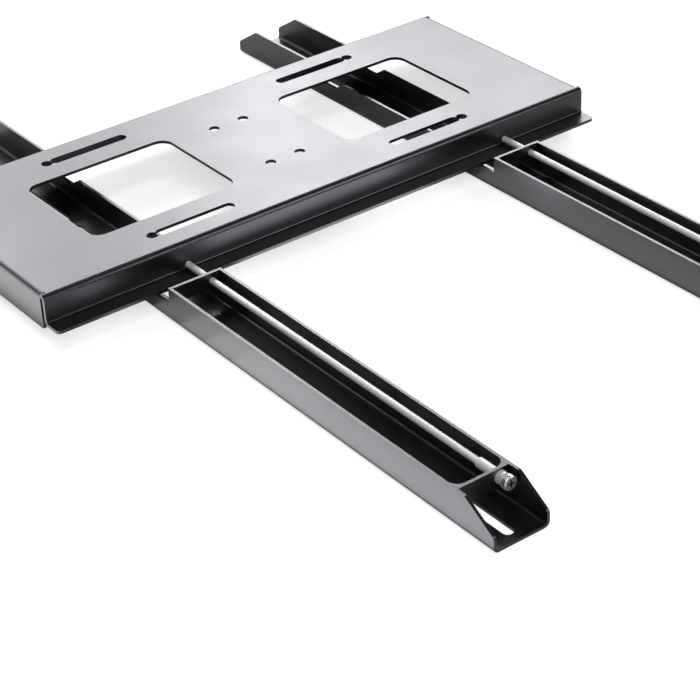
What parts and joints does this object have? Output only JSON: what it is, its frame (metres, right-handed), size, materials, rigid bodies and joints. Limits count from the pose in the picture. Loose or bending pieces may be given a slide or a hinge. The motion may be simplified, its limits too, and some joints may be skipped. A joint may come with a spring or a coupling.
{
  "type": "tv wall mount",
  "caption": "Low-profile fixed wall mount for a flat screen: a folded wall plate with windows and slots, and slotted hook-on channel arms with long lock screws.",
  "frame": {"origin": "middle of the mount's outline on the plane of the arms' webs, which face the screen", "axes": "+X along the wall plate to the right seen from the room's floor plan, +Y up the arms as the mount hangs, +Z from the screen to the wall"},
  "size_m": [0.5, 0.7, 0.0389],
  "materials": {
    "black_powder_coat_plate": "satin powder coat",
    "black_powder_coat_arm": "satin powder coat",
    "zinc_plated_steel": "bright zinc plating"
  },
  "bodies": {
    "plate": {"wall_plate": "black_powder_coat_plate"},
    "arm_left": {"arm_left": "black_powder_coat_arm", "guide_plate_left": "black_powder_coat_arm", "nut_bracket_left": "black_powder_coat_arm", "threaded_insert_left": "zinc_plated_steel"},
    "collar_left": {"screw_collar_left": "zinc_plated_steel"},
    "screw_left": {"lock_screw_left": "zinc_plated_steel"},
    "arm_right": {"arm_right": "black_powder_coat_arm", "guide_plate_right": "black_powder_coat_arm", "nut_bracket_right": "black_powder_coat_arm", "threaded_insert_right": "zinc_plated_steel"},
    "collar_right": {"screw_collar_right": "zinc_plated_steel"},
    "screw_right": {"lock_screw_right": "zinc_plated_steel"}
  },
  "joints": [
    {"name": "arm_left_slide", "type": "slide", "parent": "plate", "child": "arm_left", "axis": [1, 0, 0], "range_m": [-0.078, 0.12]},
    {"name": "screw_left_travel", "type": "slide", "parent": "arm_left", "child": "collar_left", "axis": [0, -1, 0], "range_m": [0, 0.018]},
    {"name": "screw_left_turn", "type": "hinge", "parent": "collar_left", "child": "screw_left", "pos_m": [-0.13275, -0.32, 0.0215], "axis": [0, -1, 0], "range_deg": [0, 8100]},
    {"name": "arm_right_slide", "type": "slide", "parent": "plate", "child": "arm_right", "axis": [1, 0, 0], "range_m": [-0.125, 0.07]},
    {"name": "screw_right_travel", "type": "slide", "parent": "arm_right", "child": "collar_right", "axis": [0, -1, 0], "range_m": [0, 0.018]},
    {"name": "screw_right_turn", "type": "hinge", "parent": "collar_right", "child": "screw_right", "pos_m": [0.16675, -0.32, 0.0215], "axis": [0, -1, 0], "range_deg": [0, 8100]}
  ],
  "couplings": [
    {"joint": "screw_left_turn", "follows": "screw_left_travel", "rad_per_m": 7854},
    {"joint": "screw_right_turn", "follows": "screw_right_travel", "rad_per_m": 7854}
  ]
}
